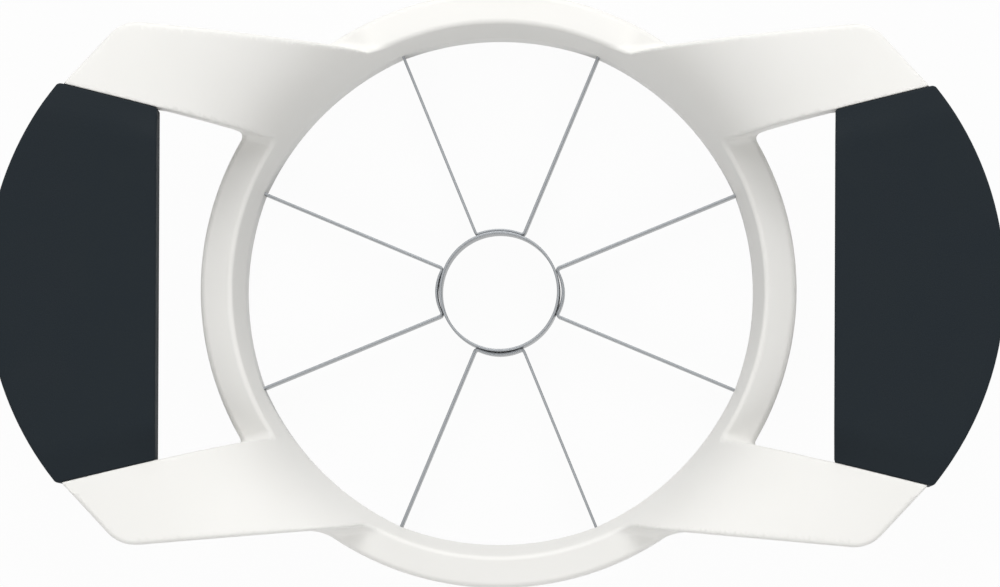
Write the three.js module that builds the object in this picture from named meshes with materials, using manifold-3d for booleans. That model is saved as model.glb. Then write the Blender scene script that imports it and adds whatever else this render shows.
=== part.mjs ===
// Apple slicer wedger press: a white moulded frame drives eight steel blades and a coring tube
// down through an apple, and two soft grips cover its raised handles.
// Millimetres, +Z up. The origin is the middle of the ring at table height; the handles lie along X.

import * as THREE from 'three';
import { mergeVertices } from 'three/addons/utils/BufferGeometryUtils.js';
import Module from 'manifold-3d';

const { BoxGeometry, BufferGeometry, CylinderGeometry, Float32BufferAttribute, Vector2 } = THREE;

// Ring round the blades
const openingRadius = 45.2; // upright inner wall, half way between two blades
const scallopDepth = 0.3; // how much farther out that wall stands at a blade
const ringHeight = 17.5;
const bandSpread = 2.8; // funnel band above the blades, from the opening out to the lip
const shoulderDrop = 3.2; // fall of the rounded top from the lip to the ring's widest point
const outerDraft = 1; // lean of the outer wall between that point and the table
const frameWall = 2.4; // walls and skins of the whole moulding
const grooveWidth = 2.3; // hollow between the ring's two walls, open below

// Blades and coring tube
const bladeHeight = 8;
const bladeThickness = 0.45;
const bladeRise = 1; // cutting edges stay this far above the table
const bladeSeatMargin = 0.6; // upright wall above the blades, below the funnel band
const bendRadius = 1; // middle of the sheet where a blade turns to pass round the tube
const grindHeight = 1.3; // ground bevel along a cutting edge
const edgeThickness = 0.1;
const tubeRadius = 10.4; // bore of the coring tube
const tubeWall = 0.45;
const tubeRise = 0.8;
const tubeHeight = 9.8;
const weldGap = 0.1; // between the tube and the strips spot-welded round it

// Blade ends moulded into the ring
const tabDepth = 4.6; // how far a blade end runs into the ring
const mouldGap = 0.15; // clearance of the pocket round a blade end
const bossWidth = 6; // solid web that fills the groove at a blade end
const pegRadius = 1.2; // plastic that has flowed through the hole in a blade end
const pegClearance = 0.2;
const pegPlaceShare = 0.58; // of the tab's depth, from the opening

// Handles, arms and grips
const handleRise = 20.9; // white top of the arms above the lip
const handleDepth = 13.4; // from that top down to the handles' lower rim
const fingerGap = 7.5; // between the ring and a grip
const gripReach = 30.5; // from a grip's straight inner edge to its outermost point
const gripArcRadius = 55.5;
const gripHalfLength = 31.7; // half of that straight edge
const gripSkin = 2; // rubber over the handle's core
const gripGap = 0.3; // clearance between rubber and core
const gripProud = 1.2; // rubber above the white top
const gripOverhang = 0.9; // rubber past the white edge at an outer corner
const armWidth = 15.1; // from a grip's inner corner across to the arm's outer corner
const cornerReach = 5.7; // of that outer corner past the grip's inner edge
const cornerRounding = 4;
const hollowRoundingShare = 0.4; // of that rounding, in the hollow under an arm
const armFoot = 4; // solid root of an arm, outside the ring, before its hollow starts
const ribThickness = 1.6;
const ribRecess = 1.5; // ribs stop this far above the lower rim
const ribPitch = 16; // cross ribs under a handle
const crossRibs = [-1, 0, 1];

// Sweep of an arm from the funnel band up to the handle, and of its underside
const flareReach = 34; // from the lip to where the arm's top lies level
const flareSteepPull = 10;
const flareLevelPull = 24;
const undersideStart = 5; // height at which the underside leaves the ring
const undersideReach = 22.6; // from there to where it lies level
const undersideSteepPull = 12.4;
const undersideLevelPull = 14;

// Angles
const halfTurn = Math.PI;
const quarterTurn = halfTurn / 2;
const bladeCount = 8;
const bladePitch = (2 * halfTurn) / bladeCount;
const firstBlade = bladePitch / 2;
const endTilt = 0.241; // grip ends and the arms' inner edges, against X
const armTilt = 0.087; // the arms' outer edges
const undersideAngle = 1.318; // steepness of the underside where it leaves the ring

// Facets
const ringFacets = 96;
const shoulderFacets = 6;
const flareFacets = 12;
const cornerFacets = 5;
const gripArcFacets = 28;
const stripArcFacets = 10;
const bendFacets = 4;
const pegFacets = 12;
const overrun = 3; // cutters pass this far beyond what they cut

// Heights, radii and places that follow
const bandStart = bladeRise + bladeHeight + bladeSeatMargin;
const lipRadius = openingRadius + bandSpread;
const baseRadius = openingRadius + scallopDepth + frameWall + grooveWidth + frameWall;
const ringRadius = baseRadius + outerDraft;
const widestHeight = ringHeight - shoulderDrop;
const armTop = ringHeight + handleRise;
const handleBottom = armTop - handleDepth;
const gripTop = armTop + gripProud;
const coreTop = gripTop - gripSkin - gripGap;
const flareEnd = lipRadius + flareReach;
const gripInner = ringRadius + fingerGap;
const gripOuter = gripInner + gripReach;
const farRadius = gripOuter + armWidth + overrun;
const tubeOuter = tubeRadius + tubeWall;
const stripRadius = tubeOuter + weldGap + bladeThickness / 2;
const tabRadius = openingRadius + tabDepth;
const pegPlace = openingRadius + tabDepth * pegPlaceShare;
const bladeMiddle = bladeRise + bladeHeight / 2;
const gripCorner = new Vector2(gripInner, gripHalfLength);
const armCorner = new Vector2(gripInner + cornerReach, gripHalfLength + armWidth);
const arcCentre = new Vector2(gripOuter - gripArcRadius, 0);

const wasm = await Module();
wasm.setup();

// Solids and outlines

function signedVolume(corners, triangles) {
  const [a, b, c] = [new THREE.Vector3(), new THREE.Vector3(), new THREE.Vector3()];
  let sum = 0;
  for (const [i, j, k] of triangles) {
    sum += a.fromArray(corners, 3 * i).dot(b.fromArray(corners, 3 * j).cross(c.fromArray(corners, 3 * k)));
  }
  return sum;
}

// A closed geometry as a solid that can be cut and joined
function toSolid(geometry) {
  const bare = geometry.clone();
  bare.deleteAttribute('normal');
  bare.deleteAttribute('uv');
  const merged = mergeVertices(bare);
  const corners = merged.attributes.position.array;
  const triangles = [];
  for (let i = 0; i < merged.index.count; i += 3) {
    const [a, b, c] = [0, 1, 2].map((k) => merged.index.getX(i + k));
    if (a !== b && b !== c && c !== a) triangles.push([a, b, c]);
  }
  if (signedVolume(corners, triangles) < 0) triangles.forEach((triangle) => triangle.reverse());
  return new wasm.Manifold(new wasm.Mesh({
    numProp: 3,
    vertProperties: new Float32Array(corners),
    triVerts: new Uint32Array(triangles.flat()),
  }));
}

function toGeometry(solid) {
  const { numProp, vertProperties, triVerts } = solid.getMesh();
  const places = [];
  for (let i = 0; i < vertProperties.length; i += numProp) places.push(...vertProperties.slice(i, i + 3));
  const geometry = new BufferGeometry();
  geometry.setAttribute('position', new Float32BufferAttribute(places, 3));
  geometry.setIndex(Array.from(triVerts));
  geometry.computeVertexNormals();
  return geometry;
}

const join = (solids) => solids.reduce((sum, next) => sum.add(next));
const direction = (angle) => new Vector2(Math.cos(angle), Math.sin(angle));
const polar = (radius, angle) => direction(angle).multiplyScalar(radius);
const along = (start, heading, reach) => start.clone().addScaledVector(heading, reach);

// Closed profile of [radius, height] points turned about Z
function revolved(profile) {
  const points = [...profile, profile[0]].map(([radius, height]) => new Vector2(radius, height));
  return new THREE.LatheGeometry(points, ringFacets).rotateX(quarterTurn);
}

function prism(shape, low, high, { facets = cornerFacets, turn = 0 } = {}) {
  const options = { depth: high - low, bevelEnabled: false, curveSegments: facets };
  return toSolid(new THREE.ExtrudeGeometry(shape, options).translate(0, 0, low).rotateZ(turn));
}

// Where a line that starts inside a circle leaves it
function lineCircle(start, heading, centre, radius) {
  const offset = start.clone().sub(centre);
  const half = offset.dot(heading);
  return along(start, heading, Math.sqrt(half * half - offset.lengthSq() + radius * radius) - half);
}

// Moves each side of a convex outline inward by its own distance
function inset(points, distances) {
  const sides = points.map((point, i) => {
    const heading = points[(i + 1) % points.length].clone().sub(point).normalize();
    return { start: along(point, new Vector2(-heading.y, heading.x), distances[i]), heading };
  });
  return sides.map((side, i) => {
    const before = sides[(i + sides.length - 1) % sides.length];
    const gap = side.start.clone().sub(before.start);
    return along(before.start, before.heading, gap.cross(side.heading) / before.heading.cross(side.heading));
  });
}

// Outline with one corner rounded by an arc
function roundedShape(points, index, radius) {
  const shape = new THREE.Shape();
  points.forEach((point, i) => {
    if (i !== index) {
      shape[i === 0 ? 'moveTo' : 'lineTo'](point.x, point.y);
      return;
    }
    const back = points[(i + points.length - 1) % points.length].clone().sub(point).normalize();
    const ahead = points[(i + 1) % points.length].clone().sub(point).normalize();
    const half = Math.acos(back.dot(ahead)) / 2;
    const centre = along(point, back.clone().add(ahead).normalize(), radius / Math.sin(half));
    const angleTo = (heading) => along(point, heading, radius / Math.tan(half)).sub(centre).angle();
    shape.absarc(centre.x, centre.y, radius, angleTo(back), angleTo(ahead), back.cross(ahead) > 0);
  });
  return shape;
}

// Ring

function flareCurve() {
  const start = new Vector2(lipRadius, ringHeight);
  const end = new Vector2(flareEnd, armTop);
  const bandHeading = new Vector2(bandSpread, ringHeight - bandStart).normalize();
  const steep = along(start, bandHeading, flareSteepPull);
  const level = new Vector2(flareEnd - flareLevelPull, armTop);
  return new THREE.CubicBezierCurve(start, steep, level, end);
}

// Share of the scallop at an angle round the ring: all of it at a blade, none half way between
function scallopShare(angle) {
  const pitches = (angle - firstBlade) / bladePitch;
  const fromBlade = 2 * Math.abs(pitches - Math.round(pitches));
  return (1 - fromBlade) ** 2;
}

// Everything inside the opening and above the swept top of band and arms
function funnelCutter() {
  const geometry = revolved([
    [0, -overrun],
    [openingRadius, -overrun],
    [openingRadius, bandStart],
    ...flareCurve().getPoints(flareFacets).map(({ x, y }) => [x, y]),
    [farRadius, armTop],
    [farRadius, armTop + overrun],
    [0, armTop + overrun],
  ]);
  const place = geometry.attributes.position;
  for (let i = 0; i < place.count; i += 1) {
    const [x, y, z] = [place.getX(i), place.getY(i), place.getZ(i)];
    const radius = Math.hypot(x, y);
    if (radius > tubeOuter && z < ringHeight) {
      const fade = Math.min(1, (ringHeight - z) / (ringHeight - bandStart));
      const growth = 1 + (scallopDepth * fade * scallopShare(Math.atan2(y, x))) / radius;
      place.setXY(i, x * growth, y * growth);
    }
  }
  return toSolid(geometry);
}

function ringBlank() {
  const inner = openingRadius - frameWall;
  const shoulder = Array.from({ length: shoulderFacets + 1 }, (_, i) => {
    const { x, y } = direction((quarterTurn * i) / shoulderFacets);
    return [lipRadius + (ringRadius - lipRadius) * x, widestHeight + shoulderDrop * y];
  });
  return toSolid(revolved([[inner, 0], [baseRadius, 0], ...shoulder, [inner, ringHeight]]));
}

// One copy at each blade of a geometry that is made along +X
function atBlades(make) {
  const angles = Array.from({ length: bladeCount }, (_, i) => firstBlade + bladePitch * i);
  return join(angles.map((angle) => toSolid(make().rotateZ(angle))));
}

// Hollow between the ring's two walls, with a solid web left at each blade
function ringGroove() {
  const top = widestHeight - frameWall;
  const inner = openingRadius + scallopDepth + frameWall;
  const outer = baseRadius - frameWall;
  const lean = (bandSpread * (top - bandStart)) / (ringHeight - bandStart);
  const groove = toSolid(revolved([
    [inner, -overrun],
    [outer, -overrun],
    [outer, 0],
    [outer + (outerDraft * top) / widestHeight, top],
    [inner + lean, top],
    [inner, bandStart],
  ]));
  const boss = () => new BoxGeometry(ringRadius - openingRadius, bossWidth, 2 * ringHeight)
    .translate((ringRadius + openingRadius) / 2, 0, 0);
  return groove.subtract(atBlades(boss));
}

const crossPin = (radius) => (
  new CylinderGeometry(radius, radius, bossWidth, pegFacets).translate(pegPlace, 0, bladeMiddle)
);

// Pockets that hold the blade ends, each crossed by its peg
function bladePockets() {
  const inner = openingRadius - overrun;
  const outer = tabRadius + mouldGap;
  const width = bladeThickness + 2 * mouldGap;
  const pocket = () => new BoxGeometry(outer - inner, width, bladeHeight + 2 * mouldGap)
    .translate((outer + inner) / 2, 0, bladeMiddle);
  return atBlades(pocket).subtract(atBlades(() => crossPin(pegRadius)));
}

// Arms

const quarters = [[1, 1], [-1, 1], [-1, -1], [1, -1]];
const outerCorner = 2; // index of the rounded corner in an arm's outline
const mirrored = (points, [signX, signY]) => points.map(({ x, y }) => new Vector2(x * signX, y * signY));

// Outline in the quarter where X and Y are positive: inner edge and grip end, slanted outer edge,
// long outer edge, and the line X = 0 inside the opening, which the funnel cuts away
function armOutline() {
  const endHeading = direction(endTilt);
  const innerRoot = along(gripCorner, endHeading, -gripInner / endHeading.x);
  const gripTip = lineCircle(gripCorner, endHeading, arcCentre, gripArcRadius);
  const outerRoot = along(armCorner, direction(armTilt), -armCorner.x / Math.cos(armTilt));
  return [innerRoot, along(gripTip, endHeading, -gripOverhang), armCorner, outerRoot];
}

// Everything below the swept underside of the arms and handles
function undersideCutter(raise) {
  const start = new Vector2(baseRadius - frameWall / 2, undersideStart + raise);
  const end = new Vector2(start.x + undersideReach, handleBottom + raise);
  const steep = along(start, direction(undersideAngle), undersideSteepPull);
  const level = new Vector2(end.x - undersideLevelPull, end.y);
  const sweep = new THREE.CubicBezierCurve(start, steep, level, end).getPoints(flareFacets);
  return toSolid(revolved([
    [start.x, -overrun],
    ...sweep.map(({ x, y }) => [x, y]),
    [farRadius, end.y],
    [farRadius, -overrun],
  ]));
}

// Space below a skin that follows the swept top, outside the arms' solid feet
function belowSkin() {
  const curve = flareCurve();
  const footRadius = ringRadius + armFoot;
  const sweep = Array.from({ length: flareFacets + 1 }, (_, i) => {
    const { x, y } = curve.getTangent(i / flareFacets);
    const { x: radius, y: height } = along(curve.getPoint(i / flareFacets), new Vector2(y, -x), frameWall);
    return [Math.max(radius, footRadius), height];
  });
  return toSolid(revolved([
    [footRadius, -overrun],
    ...sweep,
    [farRadius, armTop - frameWall],
    [farRadius, -overrun],
  ]));
}

// Rib down the middle of an arm's hollow
function armRib([innerRoot, outerTip, corner, outerRoot]) {
  const start = innerRoot.clone().add(outerRoot).multiplyScalar(0.5);
  const end = outerTip.clone().add(corner).multiplyScalar(0.5);
  const heading = end.clone().sub(start).normalize();
  const aside = new Vector2(-heading.y, heading.x);
  const corners = [[start, -1], [end, -1], [end, 1], [start, 1]];
  return corners.map(([point, side]) => along(point, aside, (side * ribThickness) / 2));
}

function buildArms() {
  const outline = armOutline();
  const innerOutline = inset(outline, [frameWall, frameWall, frameWall, 0]);
  const innerRounding = cornerRounding * hollowRoundingShare;
  const blanks = quarters.map((quarter) => (
    prism(roundedShape(mirrored(outline, quarter), outerCorner, cornerRounding), 0, armTop + overrun)
  ));
  const hollows = quarters.map((quarter) => (
    prism(roundedShape(mirrored(innerOutline, quarter), outerCorner, innerRounding), -overrun, armTop)
  ));
  const ribs = quarters.map((quarter) => (
    prism(new THREE.Shape(mirrored(armRib(outline), quarter)), 0, armTop)
  ));
  const ribbing = join(ribs).subtract(undersideCutter(ribRecess));
  return {
    blank: join(blanks).subtract(undersideCutter(0)),
    hollow: join(hollows).intersect(belowSkin()).subtract(ribbing),
  };
}

// Handles and grips

const handleTurns = [0, halfTurn];

// Outline of the right grip, drawn in by a skin and carried past the lines of its ends
function gripShape(skin, past) {
  const heading = direction(endTilt);
  const start = along(gripCorner, new Vector2(-heading.y, heading.x), past);
  const inner = along(start, heading, skin / heading.x + (gripInner - start.x) / heading.x);
  const outer = lineCircle(start, heading, arcCentre, gripArcRadius - skin);
  const angle = outer.clone().sub(arcCentre).angle();
  const shape = new THREE.Shape();
  shape.moveTo(inner.x, -inner.y);
  shape.lineTo(outer.x, -outer.y);
  shape.absarc(arcCentre.x, arcCentre.y, gripArcRadius - skin, -angle, angle, false);
  shape.lineTo(inner.x, inner.y);
  return shape;
}

function handleCores() {
  return join(handleTurns.map((turn) => (
    prism(gripShape(gripSkin + gripGap, frameWall / 2), handleBottom, coreTop, { facets: gripArcFacets, turn })
  )));
}

// Hollows under the handles, crossed by ribs
function handleHollows() {
  const skin = gripSkin + gripGap + frameWall;
  const ribHeight = coreTop - handleBottom;
  const ribMiddle = handleBottom + ribRecess + ribHeight / 2;
  const middle = (gripInner + gripOuter) / 2;
  return join(handleTurns.map((turn) => {
    const cross = crossRibs.map((place) => new BoxGeometry(gripReach, ribThickness, ribHeight)
      .translate(middle, place * ribPitch, ribMiddle));
    const lengthwise = new BoxGeometry(ribThickness, 2 * armCorner.y, ribHeight)
      .translate(middle, 0, ribMiddle);
    const ribs = join([...cross, lengthwise].map((rib) => toSolid(rib.rotateZ(turn))));
    const shape = gripShape(skin, -frameWall / 2);
    const hollow = prism(shape, handleBottom - overrun, coreTop - frameWall, { facets: gripArcFacets, turn });
    return hollow.subtract(ribs);
  }));
}

function buildFrame() {
  const { blank, hollow } = buildArms();
  const body = ringBlank().add(blank).subtract(funnelCutter());
  const opened = body.subtract(ringGroove()).subtract(hollow);
  return opened.add(handleCores()).subtract(handleHollows()).subtract(bladePockets());
}

// Sleeve over the top and both long sides of a handle's core
function buildGrip() {
  const facets = gripArcFacets;
  const outside = prism(gripShape(0, -gripGap), handleBottom, gripTop, { facets });
  const inside = prism(gripShape(gripSkin, overrun), handleBottom - overrun, gripTop - gripSkin, { facets });
  return outside.subtract(inside);
}

// Blades

// Middle of a strip's sheet from one blade end, round the tube, to the other, as points and normals
function stripPath() {
  const half = bladePitch / 2;
  const bendPlace = stripRadius + bendRadius;
  const bendAngle = half - Math.asin(bendRadius / bendPlace);
  const centre = polar(bendPlace, bendAngle);
  const sweep = quarterTurn + bendAngle - half;
  const bend = Array.from({ length: bendFacets + 1 }, (_, i) => {
    const outward = direction(half + quarterTurn + (sweep * i) / bendFacets);
    return { point: along(centre, outward, bendRadius), normal: outward.clone().negate() };
  });
  const side = [{ point: polar(tabRadius, half), normal: direction(half - quarterTurn) }, ...bend];
  const arc = Array.from({ length: stripArcFacets - 1 }, (_, i) => {
    const angle = bendAngle * (1 - (2 * (i + 1)) / stripArcFacets);
    return { point: polar(stripRadius, angle), normal: direction(angle) };
  });
  const flip = ({ x, y }) => new Vector2(x, -y);
  const otherSide = side.map(({ point, normal }) => ({ point: flip(point), normal: flip(normal) }));
  return [...side, ...arc, ...otherSide.reverse()];
}

// Sheet that stands on a path, ground to an edge along its foot
function sheetGeometry(path) {
  const [foot, ground, top] = [bladeRise, bladeRise + grindHeight, bladeRise + bladeHeight];
  const [face, edge] = [bladeThickness / 2, edgeThickness / 2];
  const section = [[face, top], [face, ground], [edge, foot], [-edge, foot], [-face, ground], [-face, top]];
  const places = path.flatMap(({ point, normal }) => section.flatMap(([aside, height]) => {
    const { x, y } = along(point, normal, aside);
    return [x, y, height];
  }));
  const size = section.length;
  const triangles = [];
  for (let i = 0; i + 1 < path.length; i += 1) {
    for (let k = 0; k < size; k += 1) {
      const [a, b] = [i * size + k, i * size + ((k + 1) % size)];
      triangles.push(a, b, a + size, b, b + size, a + size);
    }
  }
  const last = (path.length - 1) * size;
  for (let k = 1; k + 1 < size; k += 1) {
    triangles.push(0, k + 1, k, last, last + k, last + k + 1);
  }
  const geometry = new BufferGeometry();
  geometry.setAttribute('position', new Float32BufferAttribute(places, 3));
  geometry.setIndex(triangles);
  return geometry;
}

// Strip of sheet bent into two neighbouring blades, with a hole through each moulded-in end
function buildStrip() {
  const holes = [-1, 1].map((side) => (
    toSolid(crossPin(pegRadius + pegClearance).rotateZ((side * bladePitch) / 2))
  ));
  return toSolid(sheetGeometry(stripPath())).subtract(join(holes));
}

function buildTube() {
  const [foot, ground, top] = [tubeRise, tubeRise + grindHeight, tubeRise + tubeHeight];
  return toSolid(revolved([
    [tubeRadius, foot],
    [tubeRadius + edgeThickness, foot],
    [tubeOuter, ground],
    [tubeOuter, top],
    [tubeRadius, top],
  ]));
}

// Assembly

const whitePlastic = new THREE.MeshStandardMaterial({ color: 0xf1efeb, roughness: 0.35, metalness: 0 });
const darkRubber = new THREE.MeshStandardMaterial({ color: 0x262c30, roughness: 0.75, metalness: 0 });
const stainless = new THREE.MeshStandardMaterial({ color: 0xb4b8ba, roughness: 0.3, metalness: 1 });

const slicer = new THREE.Group();

function addPiece(name, geometry, material, turn = 0) {
  const piece = new THREE.Mesh(geometry, material);
  piece.name = name;
  piece.rotation.z = turn;
  slicer.add(piece);
}

const gripGeometry = toGeometry(buildGrip());
const stripGeometry = toGeometry(buildStrip());

addPiece('frame', toGeometry(buildFrame()), whitePlastic);
addPiece('grip_right', gripGeometry, darkRubber);
addPiece('grip_left', gripGeometry, darkRubber, halfTurn);
addPiece('coring_tube', toGeometry(buildTube()), stainless);
['east', 'north', 'west', 'south'].forEach((side, i) => {
  addPiece(`blade_strip_${side}`, stripGeometry, stainless, i * quarterTurn);
});

export default slicer;
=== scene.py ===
import math

import bpy
import numpy as np
from mathutils import Matrix, Quaternion, Vector


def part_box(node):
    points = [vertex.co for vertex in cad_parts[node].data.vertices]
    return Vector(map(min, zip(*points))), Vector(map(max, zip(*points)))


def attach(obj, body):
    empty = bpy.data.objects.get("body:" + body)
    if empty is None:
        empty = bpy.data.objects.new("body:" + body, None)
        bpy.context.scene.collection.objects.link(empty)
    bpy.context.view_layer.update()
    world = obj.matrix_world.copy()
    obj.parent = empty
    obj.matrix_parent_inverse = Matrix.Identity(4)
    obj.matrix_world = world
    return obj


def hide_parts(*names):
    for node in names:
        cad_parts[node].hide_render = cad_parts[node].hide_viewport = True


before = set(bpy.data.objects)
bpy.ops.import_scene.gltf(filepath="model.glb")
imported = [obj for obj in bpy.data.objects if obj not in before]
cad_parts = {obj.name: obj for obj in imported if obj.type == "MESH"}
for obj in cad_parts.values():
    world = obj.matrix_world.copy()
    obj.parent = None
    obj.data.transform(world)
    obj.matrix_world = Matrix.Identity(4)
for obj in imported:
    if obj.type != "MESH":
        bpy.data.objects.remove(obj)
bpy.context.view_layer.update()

# Apple slicer: a white moulded frame, eight steel blades round a coring tube, two soft grips.
# Shapes are worked out in millimetres and turned to metres when a mesh is made.
mm = 0.001
root2 = math.sqrt(2)


def nodeBox(name):
    low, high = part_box(name)
    return np.array(low) / mm, np.array(high) / mm


frameHigh = nodeBox("frame")[1]
gripLow, gripHigh = nodeBox("grip_right")
tubeLow, tubeHigh = nodeBox("coring_tube")
stripLow, stripHigh = nodeBox("blade_strip_east")


# Mesh helpers

def makePiece(name, places, faces, material, nodes, normals=None, sharpAngle=30):
    mesh = bpy.data.meshes.new(name)
    corners = [[int(index) for index in face] for face in faces]
    mesh.from_pydata((np.asarray(places) * mm).tolist(), [], corners)
    mesh.validate()
    mesh.shade_smooth()
    if normals is None:
        mesh.set_sharp_from_angle(angle=math.radians(sharpAngle))
    else:
        mesh.normals_split_custom_set_from_vertices(np.asarray(normals).tolist())
    mesh.materials.append(material)
    piece = bpy.data.objects.new(name, mesh)
    bpy.context.scene.collection.objects.link(piece)
    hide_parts(*nodes)
    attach(piece, "root")
    print(f"{name}: {len(mesh.polygons)} faces")


# Quads between neighbouring rows of points, each row closed on itself
def rowFaces(rows, columns):
    return [
        (i * columns + k, i * columns + (k + 1) % columns,
         (i + 1) * columns + (k + 1) % columns, (i + 1) * columns + k)
        for i in range(rows - 1) for k in range(columns)
    ]


# Node helper: settings are socket values or properties, links are sockets of other nodes

def addNode(tree, kind, settings=(), links=()):
    node = tree.nodes.new(kind)
    for name, value in dict(settings).items():
        if isinstance(name, int) or name in node.inputs:
            node.inputs[name].default_value = value
        else:
            setattr(node, name, value)
    for name, socket in dict(links).items():
        tree.links.new(socket, node.inputs[name])
    return node


def linearColour(hexColour):
    shares = [int(hexColour[i:i + 2], 16) / 255 for i in (1, 3, 5)]
    return tuple(c / 12.92 if c <= 0.04045 else ((c + 0.055) / 1.055) ** 2.4 for c in shares) + (1,)


# Materials

def newMaterial(name):
    material = bpy.data.materials.new(name)
    material.use_nodes = True
    tree = material.node_tree
    tree.nodes.clear()
    shader = addNode(tree, "ShaderNodeBsdfPrincipled")
    addNode(tree, "ShaderNodeOutputMaterial", links={"Surface": shader.outputs[0]})
    coordinates = addNode(tree, "ShaderNodeTexCoord").outputs["Object"]
    return material, tree, shader, coordinates


# A material's colour and roughness run from its first value to its second along a share, and a
# relief bumps its surface
def addFinish(tree, shader, settings, share, relief, sunk=False):
    colour = addNode(tree, "ShaderNodeMix", {
        "data_type": "RGBA",
        6: linearColour(settings["colours"][0]),
        7: linearColour(settings["colours"][1]),
    }, {0: share})
    roughness = addNode(tree, "ShaderNodeMapRange", {
        "To Min": settings["roughness"][0],
        "To Max": settings["roughness"][1],
    }, {"Value": share})
    bump = addNode(tree, "ShaderNodeBump", {
        "Distance": settings["grainDepthMm"] * mm,
        "invert": sunk,
    }, {"Height": relief})
    tree.links.new(colour.outputs[2], shader.inputs["Base Color"])
    tree.links.new(roughness.outputs["Result"], shader.inputs["Roughness"])
    tree.links.new(bump.outputs["Normal"], shader.inputs["Normal"])


whiteAbs = {
    "colours": ("#eae9e5", "#f0efec"),
    "roughness": (0.4, 0.5),
    "ior": 1.53,
    "gloss": 0.25,
    "flowMm": 22,
    "flowDetail": 2,
    "grainMm": 0.35,
    "grainDetail": 3,
    "grainDepthMm": 0.004,
}


# Moulded ABS: bright and satin, with an even grain from the mould and faint flow clouds; the real
# grain is too fine to show and is drawn coarser
def makeWhiteAbs():
    material, tree, shader, coordinates = newMaterial("Moulded white ABS")
    shader.inputs["IOR"].default_value = whiteAbs["ior"]
    shader.inputs["Specular IOR Level"].default_value = whiteAbs["gloss"]
    flow = addNode(tree, "ShaderNodeTexNoise", {
        "Scale": 1 / (whiteAbs["flowMm"] * mm),
        "Detail": whiteAbs["flowDetail"],
    }, {"Vector": coordinates})
    grain = addNode(tree, "ShaderNodeTexNoise", {
        "Scale": 1 / (whiteAbs["grainMm"] * mm),
        "Detail": whiteAbs["grainDetail"],
    }, {"Vector": coordinates})
    addFinish(tree, shader, whiteAbs, flow.outputs["Fac"], grain.outputs["Fac"])
    return material


gripTpe = {
    "colours": ("#131b20", "#171f25"),
    "roughness": (0.72, 0.84),
    "ior": 1.5,
    "gloss": 0.2,
    "blotchMm": 9,
    "blotchDetail": 4,
    "grainMm": 0.3,
    "grainDepthMm": 0.02,
}


# Moulded TPE: dark and matt, with a fine leathery grain that breaks up any gloss
def makeGripTpe():
    material, tree, shader, coordinates = newMaterial("Soft-touch TPE")
    shader.inputs["IOR"].default_value = gripTpe["ior"]
    shader.inputs["Specular IOR Level"].default_value = gripTpe["gloss"]
    blotch = addNode(tree, "ShaderNodeTexNoise", {
        "Scale": 1 / (gripTpe["blotchMm"] * mm),
        "Detail": gripTpe["blotchDetail"],
    }, {"Vector": coordinates})
    grain = addNode(tree, "ShaderNodeTexVoronoi", {"Scale": 1 / (gripTpe["grainMm"] * mm)},
                    {"Vector": coordinates})
    addFinish(tree, shader, gripTpe, blotch.outputs["Fac"], grain.outputs["Distance"], sunk=True)
    return material


bladeSteel = {
    # First colour on upright faces, second on faces turned up or down: a painted reflection of
    # shaded floor and bright sky
    "colours": ("#707477", "#94979a"),
    "roughness": (0.3, 0.4),
    "grainMm": 0.12,
    "grainLengthMm": 6,
    "grainDetail": 3,
    "grainDepthMm": 0.003,
}


# Cold-rolled stainless sheet: grey and glossy, with a grain along it and duller cut edges. Faces
# turned up or down are painted paler and upright faces darker, a painted reflection of the bright
# sky above and of the shaded floor below. The real grain is too fine to show and is drawn coarser
def makeBladeSteel():
    material, tree, shader, coordinates = newMaterial("Brushed stainless sheet")
    shader.inputs["Metallic"].default_value = 1
    along, across = 1 / (bladeSteel["grainLengthMm"] * mm), 1 / (bladeSteel["grainMm"] * mm)
    stretch = addNode(tree, "ShaderNodeMapping", {"Scale": (along, along, across)},
                      {"Vector": coordinates})
    grain = addNode(tree, "ShaderNodeTexNoise", {"Scale": 1, "Detail": bladeSteel["grainDetail"]},
                    {"Vector": stretch.outputs["Vector"]})
    geometry = addNode(tree, "ShaderNodeNewGeometry")
    facing = addNode(tree, "ShaderNodeSeparateXYZ", links={"Vector": geometry.outputs["Normal"]})
    # Share of the face turned up or down: rougher there, as the cut edges are, and painted paler as
    # a painted reflection of the sky, with upright faces painted darker as a painted reflection of
    # the shaded floor
    cutEdgeAndPaintedReflection = addNode(tree, "ShaderNodeMath", {"operation": "ABSOLUTE"}, {0: facing.outputs["Z"]})
    addFinish(tree, shader, bladeSteel, cutEdgeAndPaintedReflection.outputs["Value"], grain.outputs["Fac"])
    return material


absMaterial = makeWhiteAbs()
tpeMaterial = makeGripTpe()
steelMaterial = makeBladeSteel()
print("materials made")


# Moulding: a distance field, negative inside the plastic, that a surface is laid over

bladePitch = math.radians(45)

ring = {
    "openingRadius": 45.5,
    "footRadius": 45.7,
    "scallopDepth": 0.25,
    "bandStart": 9.6,
    "lipRadius": 48.0,
    "lipHeight": 17.5,
    "widestRadius": frameHigh[1],
    "widestHeight": 14.3,
    "shoulderDrop": 0.9,
    "shoulderRounding": 0.9,
    "draft": 0.5,
    "wall": 2.4,
    "bossWidth": 6.0,
    "lipRounding": 0.9,
    "rimRounding": 0.35,
}

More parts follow.
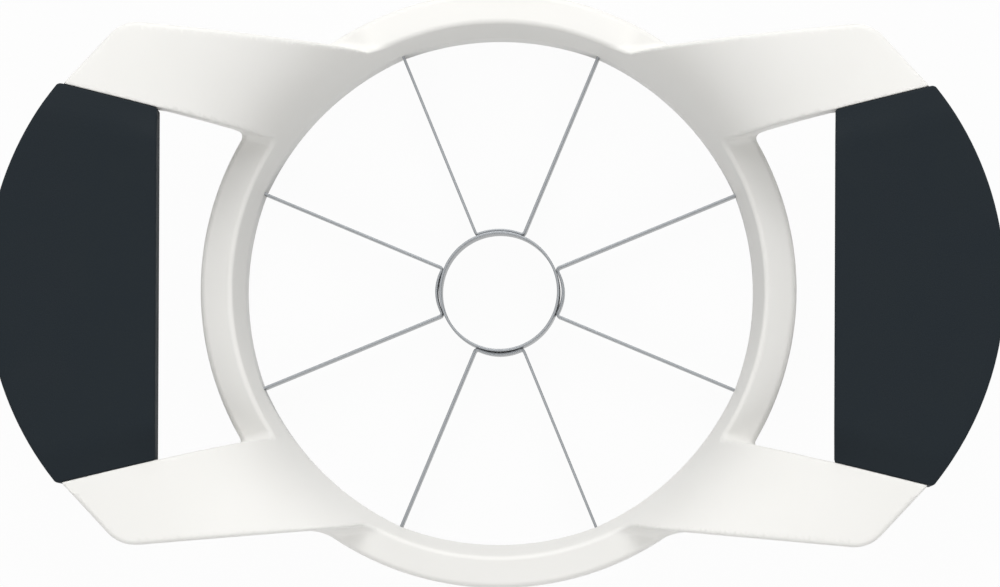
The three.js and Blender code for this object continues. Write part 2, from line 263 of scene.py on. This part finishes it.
arm = {
    "top": 38.4,
    "flareReach": 34.0,
    "flareSteepPull": 10.0,
    "flareLevelPull": 24.0,
    "undersideStart": 5.0,
    "undersideReach": 22.6,
    "undersideAngle": 1.318,
    "undersideSteepPull": 12.4,
    "undersideLevelPull": 14.0,
    "innerTilt": 0.241,
    "outerTilt": 0.087,
    "corner": (67.0, 47.1),
    "cornerRounding": 6.5,
    "hollowRounding": 1.6,
    "draft": 0.031,
    "innerDraft": 0.012,
    "outerRounding": 0.8,
    "innerRounding": 0.45,
    "roundingBlend": 4.0,
    "roundingRise": (-0.5, 6.0),
    "seamRounding": 0.3,
    "lowerRounding": 0.5,
    "notchFillet": 1.6,
    "shoulderFillet": 1.9,
    "filletBlend": 1.0,
    "footDepth": 4.0,
    "ribThickness": 1.6,
    "ribRecess": 1.5,
}

grip = {
    "inner": gripLow[0],
    "top": gripHigh[2],
    "bottom": gripLow[2],
    "arcRadius": 57.0,
    "arcInset": 0.4,
    "halfLength": 31.7,
    "skin": 2.0,
    "lap": 0.4,
    "draft": 0.05,
    "overhang": 0.9,
    "coreGap": 0.08,
    "seamReach": 2.0,
    "seamProud": 0.15,
    "seamBand": (2.0, 3.0),
    "fallReach": 6.0,
    "fallDepth": 6.0,
    "endGap": 0.04,
    "edgeRounding": 0.5,
    "lowerRounding": 0.7,
    "ribPitch": 16.0,
}

baseRadius = ring["widestRadius"] - ring["draft"]
gripOuter = gripHigh[0] - grip["arcInset"]
arcCentre = gripOuter - grip["arcRadius"]


# What lies inside both fields, with the edge where they meet rounded off
def cutBoth(a, b, rounding):
    beyond = np.hypot(np.maximum(a + rounding, 0), np.maximum(b + rounding, 0))
    return np.minimum(-rounding, np.maximum(a, b)) + beyond


# What lies inside either field, with a fillet where they meet
def joinBoth(a, b, fillet):
    return -cutBoth(-a, -b, fillet)


# As cutBoth, with a true arc where the normals of the two fields part by a known angle
def roundCorner(a, b, rounding, parting):
    u, v, share = a + rounding, b + rounding, math.cos(parting)
    arc = np.sqrt(np.maximum(u * u + v * v - 2 * u * v * share, 0)) / math.sin(parting)
    return np.where((u > v * share) & (v > u * share), arc, np.maximum(u, v)) - rounding


# Smooth step from nought at the start to one at the end
def ramp(value, start, end):
    share = np.clip((value - start) / (end - start), 0, 1)
    return share * share * (3 - 2 * share)


def cubic(start, steep, level, end, count=80):
    t = np.linspace(0, 1, count)[:, None]
    points = [np.array(p, float) for p in (start, steep, level, end)]
    weights = ((1 - t) ** 3, 3 * (1 - t) ** 2 * t, 3 * (1 - t) * t ** 2, t ** 3)
    return sum(weight * point for weight, point in zip(weights, points))


# Distance above a curve of radius and height that starts upright and ends level, worked out along
# axes turned by an eighth of a turn, where the curve never doubles back
def sweepField(curve, reach=150, step=0.1):
    points = np.vstack([curve[0] - (0, reach), curve, curve[-1] + (reach, 0)])
    across, rise = points.sum(1) / root2, (points[:, 1] - points[:, 0]) / root2
    places = np.arange(across[0], across[-1], step)
    rises = np.interp(places, across, rise)
    shrink = 1 / np.hypot(1, np.gradient(rises, step))

    def distance(radius, height):
        place = (radius + height) / root2
        above = (height - radius) / root2 - np.interp(place, places, rises)
        return above * np.interp(place, places, shrink)
    return distance


# Radii and heights of the opening's wall, the funnel band and the arms' tops
def makeTopCurve():
    rim = np.array([ring["openingRadius"], 0])
    foot = np.array([ring["footRadius"], ring["bandStart"]])
    lip = np.array([ring["lipRadius"], ring["lipHeight"]])
    heading = (lip - foot) / np.linalg.norm(lip - foot)
    end = np.array([lip[0] + arm["flareReach"], arm["top"]])
    steep, level = lip + heading * arm["flareSteepPull"], end - (arm["flareLevelPull"], 0)
    return np.vstack([rim, foot, cubic(lip, steep, level, end)])


def makeUndersideField():
    start = np.array([baseRadius - ring["wall"] / 2, arm["undersideStart"]])
    heading = np.array([math.cos(arm["undersideAngle"]), math.sin(arm["undersideAngle"])])
    end = np.array([start[0] + arm["undersideReach"], grip["bottom"]])
    return sweepField(cubic(start, start + heading * arm["undersideSteepPull"],
                            end - (arm["undersideLevelPull"], 0), end))


topCurve = makeTopCurve()
topField = sweepField(topCurve)
undersideField = makeUndersideField()


# Share of the scallop: all of it at a blade, none half way between two
def scallopShare(x, y):
    pitches = np.arctan2(y, x) / bladePitch - 0.5
    return (1 - 2 * np.abs(pitches - np.round(pitches))) ** 2


# Distance beyond the line through a point that runs at a tilt; positive on its left
def lineField(x, y, point, tilt):
    return (y - point[1]) * math.cos(tilt) - (x - point[0]) * math.sin(tilt)


# Outer end of the seam between arm and grip; the grip stands a little past it
def seamTip():
    slope = math.tan(arm["innerTilt"])
    offset = grip["halfLength"] - slope * grip["inner"]
    a, b = 1 + slope ** 2, slope * offset - arcCentre
    c = arcCentre ** 2 + offset ** 2 - grip["arcRadius"] ** 2
    x = (-b + math.sqrt(b * b - a * c)) / a - grip["overhang"] * math.cos(arm["innerTilt"])
    return x, offset + slope * x


innerCorner = (grip["inner"], grip["halfLength"])
outerTip = seamTip()
slantTilt = math.atan2(arm["corner"][1] - outerTip[1], arm["corner"][0] - outerTip[0])


# An arm's inner edge, and its slanted and long outer edges with the rounded corner between them, in
# the quarter where x and y are positive; the walls lean in towards their foot, except at the grip
def armEdges(x, y, z, cornerRounding):
    depth = arm["top"] - z
    lean = arm["draft"] * depth
    free = 1 - ramp(x, grip["inner"] - grip["seamReach"], grip["inner"])
    inner = -lineField(x, y, innerCorner, arm["innerTilt"]) + arm["innerDraft"] * depth * free
    slanted = -lineField(x, y, outerTip, slantTilt) + lean
    outer = lineField(x, y, arm["corner"], arm["outerTilt"]) + lean
    parting = arm["outerTilt"] + math.pi - slantTilt
    return inner, roundCorner(slanted, outer, cornerRounding, parting)


# The ring's shoulder falls outwards from the lip and rounds over into the leaning outer wall
def ringOutside(radius, z):
    fall = ring["shoulderDrop"] / (ring["widestRadius"] - ring["lipRadius"])
    shoulder = (z - ring["lipHeight"] + fall * (radius - ring["lipRadius"])) / math.hypot(1, fall)
    lean = ring["draft"] / ring["widestHeight"]
    wall = (radius - baseRadius - lean * z) / math.hypot(1, lean)
    wall = np.maximum(wall, radius - ring["widestRadius"])
    return cutBoth(shoulder, wall, ring["shoulderRounding"])


# Hollow between the ring's two walls, with a solid web at each blade
def grooveField(radius, x, y, z):
    inner = ring["footRadius"] + ring["scallopDepth"] + ring["wall"]
    outer = baseRadius - ring["wall"]
    roof = ring["widestHeight"] - ring["wall"]
    lean = (ring["lipRadius"] - ring["footRadius"]) / (ring["lipHeight"] - ring["bandStart"])
    innerWall = inner + lean * np.maximum(z - ring["bandStart"], 0) - radius
    outerWall = radius - outer - ring["draft"] / ring["widestHeight"] * z
    pitches = np.arctan2(y, x) / bladePitch - 0.5
    aside = radius * np.abs(np.sin((pitches - np.round(pitches)) * bladePitch))
    web = ring["bossWidth"] / 2 - aside
    walls = np.maximum(innerWall, outerWall)
    return cutBoth(cutBoth(walls, z - roof, ring["rimRounding"]), web, ring["rimRounding"])


# Hollow under an arm, split by a rib down its middle
def armHollowField(radius, x, y, z, top):
    wall = ring["wall"]
    inner, outside = armEdges(x, y, z, arm["hollowRounding"] + wall)
    foot = ring["widestRadius"] + arm["footDepth"] - radius
    sides, roof = np.maximum(inner, outside) + wall, np.maximum(top + wall, foot)
    shell = cutBoth(sides, roof, ring["rimRounding"])
    innerRoot = np.array([0, grip["halfLength"] - grip["inner"] * math.tan(arm["innerTilt"])])
    outerRoot = np.array([0, arm["corner"][1] - arm["corner"][0] * math.tan(arm["outerTilt"])])
    start = (innerRoot + outerRoot) / 2
    end = (np.array(outerTip) + arm["corner"]) / 2
    ribLine = lineField(x, y, start, math.atan2(*(end - start)[::-1]))
    ribFoot = undersideField(radius, z - arm["ribRecess"])
    rib = cutBoth(np.abs(ribLine) - arm["ribThickness"] / 2, -ribFoot, ring["rimRounding"])
    return cutBoth(shell, -rib, ring["rimRounding"])


# Distance outside a handle's outline, drawn in by a skin, without its slanted ends
def handlePlan(x, y, skin):
    arc = np.hypot(x - arcCentre, y) - (grip["arcRadius"] - skin)
    return np.maximum(arc, grip["inner"] + skin - x)


# How far a handle falls towards its ends, so that the grip meets the arms' tops
def seamFall(x, y, away):
    armHeight = np.interp(np.hypot(x, y), topCurve[:, 0], topCurve[:, 1])
    return (grip["top"] - grip["seamProud"] - armHeight) * ramp(-away, -grip["fallReach"], 0)


# Core of a handle, with a gap all round under the grip
def coreField(x, y, z, inner, fall):
    plan = np.maximum(handlePlan(x, y, grip["skin"] + grip["coreGap"]), -inner - ring["wall"] / 2)
    lid = np.maximum(z - grip["top"] + grip["skin"] + grip["coreGap"] + fall, grip["bottom"] - z)
    return cutBoth(plan, lid, ring["rimRounding"])


# Hollow under a handle, crossed by three ribs and one down its length
def handleHollowField(x, y, z, inner, fall):
    wall = ring["wall"]
    skin = grip["skin"] + grip["coreGap"] + wall
    lid = z - grip["top"] + skin + fall
    shell = cutBoth(np.maximum(handlePlan(x, y, skin), wall / 2 - inner), lid, ring["rimRounding"])
    across = y - grip["ribPitch"] * np.clip(np.round(y / grip["ribPitch"]), -1, 1)
    middle = (grip["inner"] + gripOuter) / 2
    ribLine = np.minimum(np.abs(across), np.abs(x - middle)) - arm["ribThickness"] / 2
    rib = cutBoth(ribLine, grip["bottom"] + arm["ribRecess"] - z, ring["rimRounding"])
    return cutBoth(shell, -rib, ring["rimRounding"])


def blend(first, second, share):
    return first + (second - first) * share


# Rounding of the top's edge: small along the seams, wide outside and narrow inside along the arms
def topRounding(x, z, inner, outside):
    side = ramp(inner - outside, -arm["roundingBlend"], arm["roundingBlend"])
    along = blend(arm["outerRounding"], arm["innerRounding"], side)
    edge = blend(ring["lipRounding"], along, ramp(z - ring["lipHeight"], *arm["roundingRise"]))
    near, far = grip["seamBand"]
    seam = ramp(x, grip["inner"] - grip["seamReach"], grip["inner"])
    return blend(edge, arm["seamRounding"], seam * ramp(-np.abs(inner), -far, -near))


# The whole moulding; its four quarters are alike
def mouldingField(x, y, z):
    x, y = np.abs(x), np.abs(y)
    radius = np.hypot(x, y)
    fade = np.clip((ring["lipHeight"] - z) / (ring["lipHeight"] - ring["bandStart"]), 0, 1)
    top = topField(radius - ring["scallopDepth"] * fade * scallopShare(x, y), z)
    inner, outside = armEdges(x, y, z, arm["cornerRounding"])
    armBody = cutBoth(np.maximum(inner, outside), -undersideField(radius, z), arm["lowerRounding"])
    aboveLip = ramp(z - ring["lipHeight"], -arm["filletBlend"], arm["filletBlend"])
    fillet = blend(arm["notchFillet"], arm["shoulderFillet"], aboveLip)
    body = joinBoth(ringOutside(radius, z), armBody, fillet)
    body = cutBoth(body, top, topRounding(x, z, inner, outside))
    fall = seamFall(x, y, inner)
    body = np.minimum(body, coreField(x, y, z, inner, fall))
    body = cutBoth(body, -z, ring["rimRounding"])
    hollow = np.minimum(grooveField(radius, x, y, z), armHollowField(radius, x, y, z, top))
    hollow = np.minimum(hollow, handleHollowField(x, y, z, inner, fall))
    return cutBoth(body, -hollow, ring["rimRounding"])


def fieldSlopes(places, step=0.01):
    gradient = np.empty_like(places)
    for axis in range(3):
        ahead, behind = places.copy(), places.copy()
        ahead[:, axis] += step
        behind[:, axis] -= step
        gradient[:, axis] = (mouldingField(*ahead.T) - mouldingField(*behind.T)) / (2 * step)
    return gradient


# The steps are finest at the blades, where scallops meet, at the arms' inner edges, at the lip,
# outside the ring and at the arms' top.
grid = {
    "quickStep": 1.6,
    "angles": [
        (0.5, 20.7, 1.0, True), (20.7, 22.1, 0.5, False), (22.1, 22.9, 0.2, False),
        (22.9, 24.4, 0.5, True), (24.4, 28.2, 0.3, False), (28.2, 62.0, 0.58, True),
        (62.0, 67.1, 0.6, False), (67.1, 67.9, 0.2, False), (67.9, 90, 1.0, True),
    ],
    "radii": [
        (44.37, 47.2, 0.5, False), (47.2, 49.2, 0.25, False), (49.2, 52.5, 0.66, False),
        (52.5, 54.3, 0.3, False), (54.3, 91.5, 0.66, True),
    ],
    "heights": [
        (-0.83, 0.9, 0.5, False), (0.9, 16.1, 0.8, True), (16.1, 18.3, 0.25, False),
        (18.3, 36.2, 0.6, True), (36.2, 38.8, 0.3, False),
    ],
}


def gridStops(spans):
    widen = 1
    steps = [step * widen if coarse else step for _, _, step, coarse in spans]
    return np.concatenate([
        np.arange(start, end - step / 2, step) for (start, end, _, _), step in zip(spans, steps)
    ])


def mouldingGrid():
    quarter = gridStops(grid["angles"])
    angles = np.concatenate([quarter, 180 - quarter[::-1], 180 + quarter, 360 - quarter[::-1]])
    return np.radians(angles), gridStops(grid["radii"]), gridStops(grid["heights"])


# The field on the grid: one quarter is worked out and mirrored to the other three
def sampleField(angles, radii, heights):
    turn = angles[:len(angles) // 4, None, None]
    x, y = radii[None, :, None] * np.cos(turn), radii[None, :, None] * np.sin(turn)
    quarter = mouldingField(x, y, heights[None, None, :]).astype(np.float32)
    return np.concatenate([quarter, quarter[::-1], quarter, quarter[::-1]])


def unitNormals(places, smallest=1e-9):
    gradient = fieldSlopes(places)
    return gradient / np.maximum(np.linalg.norm(gradient, axis=1), smallest)[:, None]


# For each cell, the point nearest to the surface planes at its crossings, held close to their
# middle, so that it lies on an edge or corner of the surface where the cell has one
def meetingPoints(crossings, normals, cells, hold=0.15, reach=0.7):
    def gather(values):
        return np.bincount(cells, values)

    middles = np.stack([gather(crossings[:, k]) for k in range(3)], 1) / np.bincount(cells)[:, None]
    offsets = (normals * (crossings - middles[cells])).sum(1)
    products = [gather(normals[:, i] * normals[:, j]) for i in range(3) for j in range(3)]
    matrix = np.stack(products, 1).reshape(-1, 3, 3) + hold * np.eye(3)
    target = np.stack([gather(normals[:, k] * offsets) for k in range(3)], 1)
    shift = np.linalg.solve(matrix, target[:, :, None])[:, :, 0]
    return middles + np.clip(shift, -reach, reach)


# One point in each grid cell that the surface passes through, and a face round each edge it cuts
def surfaceNet(field, angles, radii, heights):
    shape, stops, inside = field.shape, (angles, radii, heights), field < 0
    cells, crossings, turned = [], [], []
    for axis in range(3):
        ahead = np.roll(inside, -1, axis)
        if axis > 0:
            rim = (slice(None),) * axis + (-1,)
            ahead[rim] = inside[rim]
        near = np.argwhere(inside != ahead)
        far = near.copy()
        far[:, axis] = (far[:, axis] + 1) % shape[axis]
        first, second = field[tuple(near.T)], field[tuple(far.T)]
        place = np.stack([stops[k][near[:, k]] for k in range(3)], 1)
        step = stops[axis][far[:, axis]] - place[:, axis]
        step = step % (2 * math.pi) if axis == 0 else step
        place[:, axis] += step * first / (first - second)
        turn, radius, height = place.T
        crossings.append(np.stack([radius * np.cos(turn), radius * np.sin(turn), height], 1))
        a, b = [k for k in range(3) if k != axis]
        corners = []
        for shiftA, shiftB in ((-1, -1), (0, -1), (0, 0), (-1, 0)):
            cell = near.copy()
            cell[:, a] += shiftA
            cell[:, b] += shiftB
            cell[:, 0] %= shape[0]
            corners.append(np.ravel_multi_index(cell.T, shape))
        cells.append(np.stack(corners, 1))
        turned.append(first > 0 if axis == 1 else first < 0)
    crossings, cells, turned = [np.concatenate(parts) for parts in (crossings, cells, turned)]
    lookup = np.unique(cells, return_inverse=True)[1].reshape(-1)
    normals = unitNormals(crossings)
    points = meetingPoints(np.repeat(crossings, 4, 0), np.repeat(normals, 4, 0), lookup)
    faces = lookup.reshape(-1, 4)
    return points, np.where(turned[:, None], faces[:, ::-1], faces)


# The points moved on to the surface, a little each round
def settle(points, rounds=3, flattest=0.25, reach=0.4):
    for _ in range(rounds):
        gradient = fieldSlopes(points)
        size = np.maximum((gradient ** 2).sum(1), flattest)
        shift = mouldingField(*points.T) / size
        points = points - gradient * np.clip(shift, -reach, reach)[:, None]
    return points


def makeMoulding():
    stops = mouldingGrid()
    points, quads = surfaceNet(sampleField(*stops), *stops)
    points = settle(points)
    makePiece("frame_moulding", points, quads, absMaterial, ["frame"],
              normals=unitNormals(points))


makeMoulding()


# Grips: a thick sleeve over each handle's core, its slanted ends against the arms

# Point of a grip's plan at a share of its length, drawn in by an inset, on the straight or the
# curved side
def gripPlanPoint(share, inset, curved):
    slope = math.tan(arm["innerTilt"])
    half = grip["halfLength"] - grip["endGap"] / math.cos(arm["innerTilt"])
    offset, slant = share * (half - grip["inner"] * slope), share * slope
    x = grip["inner"] - grip["lap"] + inset
    if curved:
        a, b = 1 + slant ** 2, slant * offset - arcCentre
        c = arcCentre ** 2 + offset ** 2 - (grip["arcRadius"] - inset) ** 2
        x = (-b + math.sqrt(b * b - a * c)) / a
    return x, offset + slant * x


# One side of the grip's cross-section, from the rim up to the top: distances in, and heights
def gripSide(inset, roundSteps=5, sideSteps=5):
    rounding, lower = grip["edgeRounding"], grip["lowerRounding"]
    top, bottom = grip["top"] - inset, grip["bottom"] + inset
    turns = np.linspace(0, math.pi / 2, roundSteps + 1)
    foot = [(lower * (1 - math.sin(turn)), bottom + lower * (1 - math.cos(turn))) for turn in turns]
    heights = np.linspace(bottom + lower, top - rounding, sideSteps + 1)[1:-1]
    edge = [(rounding * (1 - math.cos(turn)), top - rounding * (1 - math.sin(turn)))
            for turn in turns]
    return foot + [(0, height) for height in heights] + edge


# Up one side, straight over and down the other
def archPoints(near, far, steps=14):
    start, end = np.array(near[-1]), np.array(far[-1])
    return near + [tuple(start + (end - start) * i / steps) for i in range(1, steps)] + far[::-1]


# Cross-section at a share of the length: the outside, whose curved side leans in towards the rim,
# and back along the cavity
def gripSection(share, inset):
    side, skin = gripSide(inset), grip["skin"]
    rim, roof = grip["bottom"] + inset, grip["top"] - skin
    straight = [(*gripPlanPoint(share, inset + aside, False), height) for aside, height in side]
    curved = []
    for aside, height in side:
        lean = grip["draft"] * (grip["top"] - height)
        curved.append((*gripPlanPoint(share, inset + aside + lean, True), height))
    cavity = [
        [(*gripPlanPoint(share, skin, bowed), min(max(height, rim), roof)) for _, height in side]
        for bowed in (False, True)
    ]
    return archPoints(straight, curved) + archPoints(*cavity)[::-1]


# The sleeve lofted from one rounded end to the other, and let down towards the seams; side is 1 on
# the right and -1 on the left
def makeGrip(name, node, side, endSteps=6, middleSteps=39):
    rounding, length = grip["edgeRounding"], 2 * grip["halfLength"]
    ends = [(-1 + 2 * rounding * (1 - math.cos(turn)) / length, rounding * (1 - math.sin(turn)))
            for turn in np.linspace(0, math.pi / 2, endSteps + 1)]
    middle = [(share, 0) for share in np.linspace(ends[-1][0], -ends[-1][0], middleSteps + 1)[1:-1]]
    stations = ends + middle + [(-share, inset) for share, inset in reversed(ends)]
    rows = [gripSection(share, inset) for share, inset in stations]
    columns = len(rows[0])
    places = np.array(rows).reshape(-1, 3)
    x, y, z = places.T
    away = -lineField(x, np.abs(y), innerCorner, arm["innerTilt"])
    share = np.clip((z - grip["top"] + grip["skin"]) / grip["fallDepth"] + 1, 0, 1)
    places[:, 2] -= share * seamFall(x, y, away)
    places *= (side, side, 1)
    faces = rowFaces(len(rows), columns)
    for start, turned in ((0, False), ((len(rows) - 1) * columns, True)):
        for k in range(columns // 2 - 1):
            quad = (start + k, start + k + 1, start + columns - 2 - k, start + columns - 1 - k)
            faces.append(quad[::-1] if turned else quad)
    makePiece(name, places, faces, tpeMaterial, [node], sharpAngle=40)


makeGrip("grip_sleeve_right", "grip_right", 1)
makeGrip("grip_sleeve_left", "grip_left", -1)


# Blades: strips of sheet on edge, each bent round a quarter of the tube

blade = {
    "foot": stripLow[2],
    "top": stripHigh[2],
    "thickness": 0.45,
    "bendRadius": 0.55,
    "grindHeight": 1.3,
    "edgeThickness": 0.1,
    "topRounding": 0.1,
    "tabRadius": 49.8,
    "weldGap": 0.03,
    "standOff": {"east": 0.32, "north": 0.0, "west": 0.26, "south": 0.16},
}

tube = {
    "outer": tubeHigh[0],
    "foot": tubeLow[2],
    "top": tubeHigh[2],
    "wall": 0.45,
    "rounding": 0.12,
}

roundTurns = np.linspace(0, math.pi / 2, 4)  # of the rounded upper edges


def polar(radius, angle):
    return np.array([radius * math.cos(angle), radius * math.sin(angle)])


# Middle line of a strip, from one blade end round the tube to the other, as points and sheet
# normals; half way between its bends it bulges off the tube by the stand-off
def stripPath(standOff, bendSteps=10, arcSteps=30, runSteps=12):
    half = bladePitch / 2
    sheetRadius = tube["outer"] + blade["weldGap"] + blade["thickness"] / 2
    bendPlace = sheetRadius + blade["bendRadius"]
    bendAngle = half - math.asin(blade["bendRadius"] / bendPlace)
    centre = polar(bendPlace, bendAngle)
    sweep = math.pi / 2 + bendAngle - half
    start = polar(blade["tabRadius"], half)
    turns = [half + math.pi / 2 + sweep * i / bendSteps for i in range(bendSteps + 1)]
    bend = [(centre + polar(blade["bendRadius"], turn), -polar(1, turn)) for turn in turns]
    aside = polar(1, half - math.pi / 2)
    run = [(start + (bend[0][0] - start) * i / runSteps, aside) for i in range(runSteps)]
    arc = []
    for i in range(1, arcSteps):
        angle = bendAngle * (1 - 2 * i / arcSteps)
        bulge = standOff * math.cos(math.pi / 2 * angle / bendAngle)
        arc.append((polar(sheetRadius + bulge, angle), polar(1, angle)))
    flip = np.array([1, -1])
    other = [(point * flip, normal * flip) for point, normal in reversed(run + bend)]
    return run + bend + arc + other


# Cross-section of the sheet, ground to an edge at its foot, as distances aside and heights
def stripSection():
    face, edge, corner = blade["thickness"] / 2, blade["edgeThickness"] / 2, blade["topRounding"]
    ground = blade["foot"] + blade["grindHeight"]
    rounded = [(face - corner * (1 - math.cos(turn)), blade["top"] - corner * (1 - math.sin(turn)))
               for turn in roundTurns]
    right = [(edge, blade["foot"]), (face, ground)] + rounded
    return right + [(-aside, height) for aside, height in reversed(right)]


def makeStrip(name, node, turn, standOff):
    path, section = stripPath(standOff), stripSection()
    rotation = np.array([[math.cos(turn), -math.sin(turn)], [math.sin(turn), math.cos(turn)]])
    places = [(*(rotation @ (point + normal * aside)), height)
              for point, normal in path for aside, height in section]
    columns = len(section)
    last = (len(path) - 1) * columns
    faces = [face[::-1] for face in rowFaces(len(path), columns)]
    faces += [range(columns), range(last + columns - 1, last - 1, -1)]
    makePiece(name, places, faces, steelMaterial, [node], sharpAngle=25)


for quarter, (side, standOff) in enumerate(blade["standOff"].items()):
    makeStrip(f"blade_sheet_{side}", f"blade_strip_{side}", quarter * math.pi / 2, standOff)


# The tube's wall, ground to an edge at its foot and rounded at its top, turned round the middle
def makeTube(facets=160):
    outer, inner, corner = tube["outer"], tube["outer"] - tube["wall"], tube["rounding"]
    foot, top, ground = tube["foot"], tube["top"], tube["foot"] + blade["grindHeight"]
    profile = [(inner, foot), (inner + blade["edgeThickness"], foot), (outer, ground)]
    profile += [(outer - corner * (1 - math.cos(turn)), top - corner * (1 - math.sin(turn)))
                for turn in roundTurns]
    profile += [(inner + corner * (1 - math.sin(turn)), top - corner * (1 - math.cos(turn)))
                for turn in roundTurns]
    angles = [2 * math.pi * i / facets for i in range(facets)]
    places = [(*polar(radius, angle), height) for angle in angles for radius, height in profile]
    columns = len(profile)
    faces = [
        (i * columns + k, ((i + 1) % facets) * columns + k,
         ((i + 1) % facets) * columns + (k + 1) % columns, i * columns + (k + 1) % columns)
        for i in range(facets) for k in range(columns)
    ]
    makePiece("coring_tube_steel", places, faces, steelMaterial, ["coring_tube"],
              sharpAngle=25)


makeTube()


# Stage, light and camera

studio = {
    "floorSize": 30.0,
    "floorGapMm": 0.02,
    "floorColour": "#d2d2d2",
    "floorGlow": 0.96,
    "skyLevel": 0.44,
    "lampSize": 0.7,
    "lampDistance": 1.2,
    "lamps": {
        "key_lamp": {"azimuth": 0, "elevation": 30, "power": 6.5},
        "high_lamp": {"azimuth": 0, "elevation": 55, "power": 4.1},
        "fill_lamp": {"azimuth": 180, "elevation": 45, "power": 4.8},
        "right_lamp": {"azimuth": 90, "elevation": 20, "power": 2.0},
        "left_lamp": {"azimuth": -90, "elevation": 20, "power": 1.8},
    },
}

photoView = {
    "distance": 4.0,
    "clipEnd": 20.0,
    "pixelsPerMm": 5.552,
    "imageWidth": 1000,
    "sensorMm": 36.0,
    "tiltRight": 1.5,
    "tiltFront": 2.6,
    "roll": 0.25,
    "target": (0.11, -0.37, 9.6),
}


# The camera, reflections and clear materials see floor and sky as white; their light is softer
def seenDirectly(tree):
    path = addNode(tree, "ShaderNodeLightPath")
    seen = path.outputs["Is Camera Ray"]
    for kind in ("Is Glossy Ray", "Is Transmission Ray"):
        either = addNode(tree, "ShaderNodeMath", {"operation": "MAXIMUM"},
                         {0: seen, 1: path.outputs[kind]})
        seen = either.outputs["Value"]
    return seen


# The floor lies just under the rims and is clear from below, so that the underside can be looked at
def makeFloor():
    size, level = studio["floorSize"] / 2, -studio["floorGapMm"] * mm
    corners = [(x * size, y * size, level) for x, y in ((-1, -1), (1, -1), (1, 1), (-1, 1))]
    mesh = bpy.data.meshes.new("floor")
    mesh.from_pydata(corners, [], [(0, 1, 2, 3)])
    floor = bpy.data.objects.new("floor", mesh)
    bpy.context.scene.collection.objects.link(floor)
    material = bpy.data.materials.new("White paper floor")
    material.use_nodes = True
    tree = material.node_tree
    tree.nodes.clear()
    paper = addNode(tree, "ShaderNodeBsdfDiffuse", {"Color": linearColour(studio["floorColour"])})
    glow = addNode(tree, "ShaderNodeEmission")
    share = addNode(tree, "ShaderNodeMath", {"operation": "MULTIPLY", 1: studio["floorGlow"]},
                    {0: seenDirectly(tree)})
    above = addNode(tree, "ShaderNodeMixShader",
                    links={0: share.outputs["Value"], 1: paper.outputs[0], 2: glow.outputs[0]})
    below = addNode(tree, "ShaderNodeBsdfTransparent")
    backside = addNode(tree, "ShaderNodeNewGeometry").outputs["Backfacing"]
    both = addNode(tree, "ShaderNodeMixShader",
                   links={0: backside, 1: above.outputs[0], 2: below.outputs[0]})
    addNode(tree, "ShaderNodeOutputMaterial", links={"Surface": both.outputs[0]})
    mesh.materials.append(material)


def makeSky():
    world = bpy.data.worlds.new("Studio")
    bpy.context.scene.world = world
    world.use_nodes = True
    tree = world.node_tree
    tree.nodes.clear()
    light = addNode(tree, "ShaderNodeBackground", {"Strength": studio["skyLevel"]})
    white = addNode(tree, "ShaderNodeBackground", {"Color": (1, 1, 1, 1)})
    mix = addNode(tree, "ShaderNodeMixShader",
                  links={0: seenDirectly(tree), 1: light.outputs[0], 2: white.outputs[0]})
    addNode(tree, "ShaderNodeOutputWorld", links={"Surface": mix.outputs[0]})


# A soft square lamp; its azimuth is counted from the back of the object
def makeLamp(name, azimuth, elevation, power):
    lamp = bpy.data.lights.new(name, "AREA")
    lamp.size = studio["lampSize"]
    lamp.energy = power
    holder = bpy.data.objects.new(name, lamp)
    holder.visible_camera = False
    bpy.context.scene.collection.objects.link(holder)
    lift, turn = math.radians(elevation), math.radians(azimuth)
    level = math.cos(lift)
    place = Vector((math.sin(turn) * level, math.cos(turn) * level, math.sin(lift)))
    holder.location = place * studio["lampDistance"]
    holder.rotation_mode = "QUATERNION"
    holder.rotation_quaternion = place.to_track_quat("Z", "Y")


# Looks down from high above, tilted a little, with the photograph's scale at the target's height
def makeCamera():
    data = bpy.data.cameras.new("camera")
    data.sensor_width = photoView["sensorMm"]
    shown = photoView["imageWidth"] / photoView["pixelsPerMm"] * mm
    data.lens = photoView["sensorMm"] * photoView["distance"] / shown
    data.clip_end = photoView["clipEnd"]
    camera = bpy.data.objects.new("camera", data)
    bpy.context.scene.collection.objects.link(camera)
    right, front = [math.tan(math.radians(photoView[tilt])) for tilt in ("tiltRight", "tiltFront")]
    back = Vector((right, -front, 1)).normalized()
    camera.location = Vector(photoView["target"]) * mm + back * photoView["distance"]
    across = Vector((0, 1, 0)).cross(back).normalized()
    camera.rotation_mode = "QUATERNION"
    facing = Matrix((across, back.cross(across), back)).transposed().to_quaternion()
    camera.rotation_quaternion = facing @ Quaternion((0, 0, 1), math.radians(photoView["roll"]))
    bpy.context.scene.camera = camera


makeFloor()
makeSky()
for lampName, lampSettings in studio["lamps"].items():
    makeLamp(lampName, **lampSettings)
makeCamera()
bpy.context.scene.view_settings.view_transform = "Standard"
print("stage, light and camera made")
